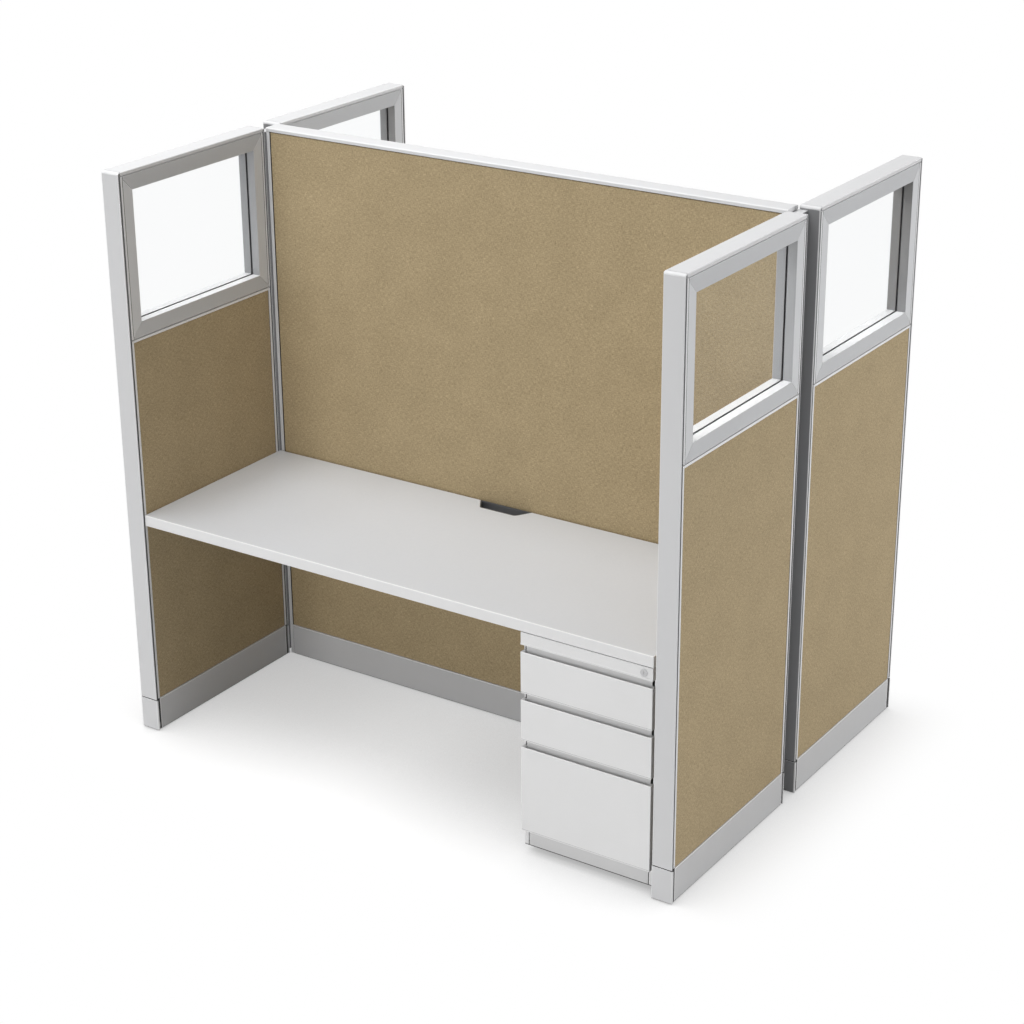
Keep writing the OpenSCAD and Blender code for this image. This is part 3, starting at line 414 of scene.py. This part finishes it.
def board(bm, low, high, axis, out, radius=2.5 * MM, pillow=0.5 * MM, reach=22 * MM):
    """Adds a tile whose cloth wraps round its edges and swells away from them.

    Its show face points out (+1 or -1) along axis.
    """
    p, q = (i for i in range(3) if i != axis)
    ps, qs = (steps(low[i], high[i], radius) for i in (p, q))
    front, back = (high[axis], low[axis]) if out > 0 else (low[axis], high[axis])

    def at(a, b):
        """A vertex of the show face, as far behind its plane as the edges draw it."""
        ea = min(a - low[p], high[p] - a)
        eb = min(b - low[q], high[q] - b)
        fa, fb = max(0.0, radius - ea), max(0.0, radius - eb)
        drop = radius - math.sqrt(max(0.0, radius ** 2 - fa ** 2 - fb ** 2))
        soft = 1 - min(1.0, min(ea, eb) / reach)
        place = [0.0] * 3
        place[p], place[q], place[axis] = a, b, front - out * (drop + pillow * soft ** 2)
        return bm.verts.new(place)

    grid = [[at(a, b) for b in qs] for a in ps]
    for row, after in zip(grid, grid[1:]):
        for j in range(len(qs) - 1):
            bm.faces.new((row[j], after[j], after[j + 1], row[j + 1]))
    rim = [row[0] for row in grid] + grid[-1][1:]
    rim += [row[-1] for row in reversed(grid[:-1])] + grid[0][-2:0:-1]
    rear = []
    for vert in rim:
        made = bm.verts.new(vert.co)
        made.co[axis] = back
        rear.append(made)
    for corners in zip(rim, rear, rear[1:] + rear[:1], rim[1:] + rim[:1]):
        bm.faces.new(corners)
    bm.faces.new(rear)


def cloth_tiles(node, axis):
    """The cloth-covered boards of a node, each facing away from the panel that carries it."""
    solids = islands(node)
    centres = [(low[axis] + high[axis]) / 2 for low, high in solids]
    # A tile alone in its node is on the spine, whose middle is at zero
    panel = sum(centres) / len(centres) if len(centres) > 1 else 0.0
    bm = bmesh.new()
    for (low, high), centre in zip(solids, centres):
        board(bm, low, high, axis, 1 if centre > panel else -1)
    bmesh.ops.recalc_face_normals(bm, faces=bm.faces)
    show(node, bm, [MATERIALS["tan_fabric"]])


def faces_junction(face, near, depth=1 * MM):
    """Whether a wing's face looks into the slot between the front and the rear wings.

    near is where the wing begins, and depth how far behind that the face may lie.
    """
    y = face.calc_center_median().y
    return abs(face.normal.y) > SQUARE_ON and abs(y) < near + depth and y * face.normal.y < 0


def wing_trims(node, edge=0.7 * MM, web=4.9 * MM, head=1816.5 * MM):
    """Trims at a wing's ends.

    What lies more than web behind their outer plates, and below their heads, is painted dark as
    painted shade in a reveal.
    """
    bm = merged(node)
    ends = [abs(vert.co.y) for vert in bm.verts]
    near, far = min(ends), max(ends)
    soften(bm, edge, angle=50)

    def pick(face):
        centre = face.calc_center_median()
        depth = min(abs(centre.y) - near, far - abs(centre.y))
        if rounded(face):
            return "edge"
        if depth > web and centre.z < head:
            return "reveal"
        return "junction" if faces_junction(face, near) else "side"

    # Rounded edges take painted highlights, and the reveals and the faces looking into the slot
    # between the wings take painted shade
    show_in(node, bm, pick, side=MATERIALS["light_trim"], edge=EDGES["light_trim"],
            reveal=TRIM_REVEAL_SHADE, junction=JUNCTION_SHADE)


def edge_strips(node, edge=0.7 * MM, spine=40 * MM):
    """Light strips beside the tiles, painted lighter than the trims as a painted highlight, with
    painted shade on their cut ends. The spine's strips run along X.
    """
    bm = merged(node)
    soften(bm, edge)

    def pick(face):
        centre = face.calc_center_median()
        along = X if abs(centre.x) < WING_X and abs(centre.y) < spine else Y
        if rounded(face):
            return "edge"
        return "end" if abs(face.normal[along]) > SQUARE_ON else "side"

    show_in(node, bm, pick, side=STRIP_HIGHLIGHT, edge=EDGES["light_trim"], end=TRIM_REVEAL_SHADE)


def raceways(node, edge=0.9 * MM, dark=6 * MM, bright=9.5 * MM, foot=1.6 * MM, top=3.2 * MM,
             wing_side=912.5 * MM):
    """Base covers with a painted shadow line below them and where they pass behind a foot cover,
    and painted highlights along their tops, beside those lines and on rounded edges.
    """
    bm = merged(node)
    wings = [abs(vert.co.y) for vert in bm.verts if abs(vert.co.x) > wing_side]
    near, far = min(wings), max(wings)
    low, high = (corner.z for corner in box_of(bm.verts))
    for side in (-1, 1):
        cut(bm, Y, *(side * place
                     for place in (near + dark, near + bright, far - bright, far - dark)))
    cut(bm, Z, low + foot, high - top)
    soften(bm, edge)

    def from_end(centre):
        """How far a place lies from the end of a wing's cover, or bright on the spine."""
        if abs(centre.x) <= WING_X:
            return bright
        # The inner end shows a painted shadow line on the front left and the rear right wings only
        inner = abs(centre.y) - near if centre.x * centre.y > 0 else math.inf
        return min(far - abs(centre.y), inner)

    def pick(face):
        centre = face.calc_center_median()
        end = from_end(centre)
        if end < dark or centre.z < low + foot:
            return "seam"
        return "edge" if end < bright or centre.z > high - top or rounded(face) else "side"

    show_in(node, bm, pick, side=MATERIALS["raceway_grey"], edge=EDGES["raceway_grey"], seam=PAINTED_SHADOW)


def feet(node, edge=1.2 * MM, under=-0.2, over=0.98):
    """Foot covers with painted shade where a face looks down, meets the trim above it or looks into
    the slot between the wings, and painted highlights on rounded edges.
    """
    bm = merged(node)
    near = min(abs(vert.co.y) for vert in bm.verts if abs(vert.co.x) > WING_X)
    soften(bm, edge)

    def pick(face):
        if not under <= face.normal.z <= over:
            return "seam"
        if rounded(face):
            return "edge"
        return "junction" if faces_junction(face, near) else "side"

    show_in(node, bm, pick, side=MATERIALS["light_trim"], edge=EDGES["light_trim"], seam=PAINTED_SHADOW,
            junction=JUNCTION_SHADE)


def posts(node, edge=0.8 * MM, upward=0.5):
    """Junction posts with sides in a mid grey that is painted shade of the slot between the wings,
    and tops in the colour of the caps around them.
    """
    bm = merged(node)
    soften(bm, edge)
    show_in(node, bm, lambda face: "top" if face.normal.z > upward else "side",
            side=MATERIALS[SLOT[node]], top=MATERIALS["light_trim"])


def pedestal_case(node, edge=0.25 * MM, base=77 * MM, line=2.5 * MM):
    """Steel case whose set-back base is painted darker as painted shade, with a painted shadow line
    along the floor and painted highlights on rounded edges.
    """
    bm = merged(node)
    floor_line = box_of(bm.verts)[0].z + line
    cut(bm, Z, floor_line)
    soften(bm, edge)

    def pick(face):
        height = face.calc_center_median().z
        if height < base:
            return "seam" if height < floor_line else "plinth"
        return "edge" if rounded(face) else "side"

    show_in(node, bm, pick, side=MATERIALS["off_white_steel"], edge=EDGES["off_white_steel"],
            plinth=PLINTH_SHADE, seam=PAINTED_SHADOW)


def drawer_front(node, bead=3.5 * MM, line=0.9 * MM, lip_edge=2 * MM, rim_edge=1.1 * MM,
                 trough=3 * MM, skin=0.1 * MM, rim_turn=0.7):
    """Steel pan with a rounded rim in a painted highlight, and a fine pressed line above its lower
    edge in painted shade.

    What lies more than trough behind its show face is painted darker, as painted shade of the
    finger pull.
    """
    bm = merged(node)
    low = box_of(bm.verts)[0].z
    show_face = max((vert.co.y for vert in bm.verts), key=abs)
    line_low, line_high = low + bead, low + bead + line
    cut(bm, Z, line_low, line_high)

    def rim():
        """The outside edges of the show face."""
        return [edge for edge in outside(bm, rim_turn)
                if all(abs(vert.co.y - show_face) < ON_PLANE for vert in edge.verts)]

    top = max(vert.co.z for edge in rim() for vert in edge.verts)
    lip = [edge for edge in rim() if all(abs(vert.co.z - top) < ON_PLANE for vert in edge.verts)]
    bevel(bm, lip, lip_edge, segments=4)
    bevel(bm, rim(), rim_edge, segments=3)

    def pick(face):
        centre = face.calc_center_median()
        depth = abs(centre.y - show_face)
        flush = abs(face.normal.y) > SQUARE_ON and depth < skin
        if flush and line_low < centre.z < line_high:
            return "line"
        if depth > trough:
            return "trough"
        return "edge" if rounded(face) else "side"

    show_in(node, bm, pick, side=MATERIALS["off_white_steel"], edge=EDGES["off_white_steel"],
            line=PRESSED_LINE_SHADE, trough=TROUGH_SHADE)


def window_frame(node, edge=0.8 * MM, strip=7.5 * MM, line=2 * MM):
    """Mitred bars whose sides round the opening are painted darker, as painted shade.

    A light strip, painted lighter as a painted highlight, and a painted shadow line run along the
    outer side of each stile. The stiles are painted lighter than the rails as painted light, and
    rounded edges carry painted highlights.
    """
    bm = merged(node)
    low, high = box_of(bm.verts)
    cut(bm, Y, low.y + strip, low.y + strip + line, high.y - strip, high.y - strip - line)
    soften(bm, edge)

    def pick(face):
        centre = face.calc_center_median()
        end = min(centre.y - low.y, high.y - centre.y)
        if abs(face.normal.x) > SQUARE_ON:
            if end < strip + line:
                return "strip" if end < strip else "seam"
            return "stile" if end < min(centre.z - low.z, high.z - centre.z) else "rail"
        if abs(face.normal.y) > SQUARE_ON or face.normal.z < -SQUARE_ON:
            return "reveal"
        return "edge"

    show_in(node, bm, pick, rail=MATERIALS["window_grey"], edge=EDGES["window_grey"],
            stile=STILE_LIT, strip=STRIP_HIGHLIGHT, reveal=REVEAL_SHADE, seam=PAINTED_SHADOW)


def worksurface(node, edge=2 * MM):
    """Laminated board with a thin edge band of its own material round its rim, and a painted
    highlight on the band's rounded corners.
    """
    bm = merged(node)
    soften(bm, edge, segments=4, angle=60)

    def pick(face):
        if rounded(face):
            return "corner"
        return "band" if abs(face.normal.z) < SQUARE_ON else "top"

    show_in(node, bm, pick, top=MATERIALS["white_laminate"], band=EDGE_BAND, corner=BAND_HIGHLIGHT)


CAP_EDGE, CAP_ANGLE = 0.35 * MM, 50
FOLDED_EDGE = 0.2 * MM  # edges of folded sheet and small turned parts
for wing in WINGS:
    dress(wing + "_top_cap", CAP_EDGE, CAP_ANGLE)
    wing_trims(wing + "_end_trims")
    window_frame(wing + "_window_frame")
    cloth_tiles(wing + "_tiles", X)
dress("spine_top_cap", CAP_EDGE, CAP_ANGLE)
dress("spine_end_trims", CAP_EDGE, CAP_ANGLE)
cloth_tiles("spine_front_tile", Y)
cloth_tiles("spine_rear_tile", Y)
edge_strips("edge_strips")
raceways("raceway_covers")
feet("foot_covers")
posts("junction_posts")
for shared, shared_edge in {
    "glazing_gaskets": 0.5 * MM,
    "levelling_glides": 0.6 * MM,
    "junction_bolts": 0.4 * MM,
    "notch_liners": 0.5 * MM,
    "cantilever_brackets": 0.4 * MM,
    "side_rails": 0.3 * MM,
    "fixed_slides": FOLDED_EDGE,
}.items():
    dress(shared, shared_edge)
for station in STATIONS:
    worksurface(station + "_worksurface")
    pedestal_case(station + "_pedestal_case")
    for drawer in ("upper", "lower", "file"):
        drawer_front(f"{station}_{drawer}_drawer_front")
        dress(f"{station}_{drawer}_drawer_tub", FOLDED_EDGE)
    dress(station + "_file_middle_slides", FOLDED_EDGE)
    dress(station + "_lock_plug", FOLDED_EDGE)
    dress(station + "_lock_bar", 0.25 * MM)
# The nodes that no piece stands for show their own mesh
for name, solid in NODES.items():
    if not solid.hide_render:
        solid.data.materials.clear()
        solid.data.materials.append(MATERIALS[SLOT[name]])


# Floor, light and camera

def make_floor(size=30.0, gap=0.4 * MM, footprint=(0.98, 0.71), fade=(-0.06, 0.30),
               bounce=0.78, shadowed=0.30, open_reach=0.8, open_glow=0.60, least_glow=0.29):
    """A pale floor that keeps the object's shadow and fades to white around its footprint.

    footprint gives the object's half width and half depth, and fade the distances from it
    between which the floor turns white. bounce lights the object, and the rest is what is seen.
    """
    bm = bmesh.new()
    bmesh.ops.create_grid(bm, x_segments=2, y_segments=2, size=size)
    mesh = bpy.data.meshes.new("floor")
    bm.to_mesh(mesh)
    bm.free()
    floor = bpy.data.objects.new("floor", mesh)
    floor.location.z = -gap
    SCENE.collection.objects.link(floor)

    s = Shader("studio_floor")
    xyz = s.node("ShaderNodeSeparateXYZ", {0: s.place}).outputs
    squares = []
    for i, half in zip((X, Y), footprint):
        past = s.maths("SUBTRACT", s.maths("ABSOLUTE", xyz[i]), half)
        squares.append(s.maths("POWER", s.maths("MAXIMUM", past, 0.0), 2.0))
    away = s.maths("SQRT", s.maths("ADD", *squares))
    whiten = s.node("ShaderNodeMapRange", {"Value": away, "From Min": fade[0], "From Max": fade[1]},
                    interpolation_type="SMOOTHSTEP").outputs[0]
    lit = s.node("ShaderNodeBsdfDiffuse", {"Color": (bounce,) * 3})
    dim = s.node("ShaderNodeBsdfDiffuse", {"Color": (shadowed,) * 3})
    # Painted shade: the glow that is seen dims under and round the object, where it hides the sky
    # within open_reach
    contact_shade = s.node("ShaderNodeAmbientOcclusion", {"Distance": open_reach}, samples=6)
    strength = s.maths("ADD", s.maths("MULTIPLY", contact_shade.outputs["AO"], open_glow), least_glow)
    glow = s.node("ShaderNodeEmission", {"Strength": strength})
    near = s.node("ShaderNodeAddShader", {0: dim.outputs[0], 1: glow.outputs[0]})
    white = s.node("ShaderNodeEmission", {"Strength": 1.0})
    seen = s.node("ShaderNodeMixShader", {0: whiten, 1: near.outputs[0], 2: white.outputs[0]})
    path = s.node("ShaderNodeLightPath").outputs
    direct = s.maths("MAXIMUM", path["Is Camera Ray"], path["Is Transmission Ray"])
    s.out(s.node("ShaderNodeMixShader", {0: direct, 1: lit.outputs[0], 2: seen.outputs[0]}))
    mesh.materials.append(s.material)


def make_world(strength):
    """Soft white light from all round, and plain white where the world itself is seen."""
    world = bpy.data.worlds.new("studio")
    world.use_nodes = True
    tree = world.node_tree
    tree.nodes.clear()
    path = tree.nodes.new("ShaderNodeLightPath").outputs
    seen = path["Is Camera Ray"]
    for ray in ("Is Glossy Ray", "Is Transmission Ray"):
        either = tree.nodes.new("ShaderNodeMath")
        either.operation = "MAXIMUM"
        tree.links.new(seen, either.inputs[0])
        tree.links.new(path[ray], either.inputs[1])
        seen = either.outputs[0]
    level = tree.nodes.new("ShaderNodeMapRange")
    level.inputs["To Min"].default_value = strength
    level.inputs["To Max"].default_value = 1.0
    tree.links.new(seen, level.inputs["Value"])
    background = tree.nodes.new("ShaderNodeBackground")
    background.inputs["Color"].default_value = (1.0, 1.0, 1.0, 1.0)
    tree.links.new(level.outputs[0], background.inputs["Strength"])
    output = tree.nodes.new("ShaderNodeOutputWorld")
    tree.links.new(background.outputs[0], output.inputs["Surface"])
    SCENE.world = world


def lamp(name, place, target, size, power):
    """A round soft light of a diameter in metres and a power in watts."""
    light = bpy.data.lights.new(name, "AREA")
    light.shape = "DISK"
    light.size = size
    light.energy = power
    made = bpy.data.objects.new(name, light)
    made.location = place
    made.rotation_euler = (Vector(target) - Vector(place)).to_track_quat("-Z", "Y").to_euler()
    made.visible_camera = False
    made.visible_glossy = False
    SCENE.collection.objects.link(made)


def make_camera(place, azimuth, elevation, roll, focal_share, sensor=36.0):
    """The photograph's camera. focal_share is its focal length over the picture's width."""
    az, el, turn = map(math.radians, (azimuth, elevation, roll))
    forward = Vector((-math.sin(az) * math.cos(el), math.cos(az) * math.cos(el), -math.sin(el)))
    right = Vector((math.cos(az), math.sin(az), 0.0))
    up = right.cross(forward)
    rolled = right * math.cos(turn) - up * math.sin(turn)
    upright = right * math.sin(turn) + up * math.cos(turn)
    data = bpy.data.cameras.new("camera")
    data.sensor_width = sensor
    data.lens = sensor * focal_share
    data.clip_end = 100.0
    camera = bpy.data.objects.new("camera", data)
    camera.matrix_world = Matrix((rolled, upright, -forward)).transposed().to_4x4()
    camera.location = place
    SCENE.collection.objects.link(camera)
    SCENE.camera = camera


make_floor()
make_world(strength=0.352)
lamp("top_softbox", (-1.2, -0.9, 6.3), (0.0, 0.0, 0.9), size=4.0, power=230.0)
lamp("front_softbox", (-1.0, -7.6, 1.6), (0.0, -0.7, 0.9), size=4.0, power=160.0)
lamp("side_softbox", (8.0, 3.6, 1.05), (0.95, 0.0, 0.9), size=2.2, power=272.0)
FOCAL_PIXELS, PICTURE_PIXELS = 2305.3, 1024
make_camera((3.67327, -5.52981, 3.49654), azimuth=33.7215, elevation=22.6966, roll=0.4148,
            focal_share=FOCAL_PIXELS / PICTURE_PIXELS)
SCENE.view_settings.view_transform = "Standard"
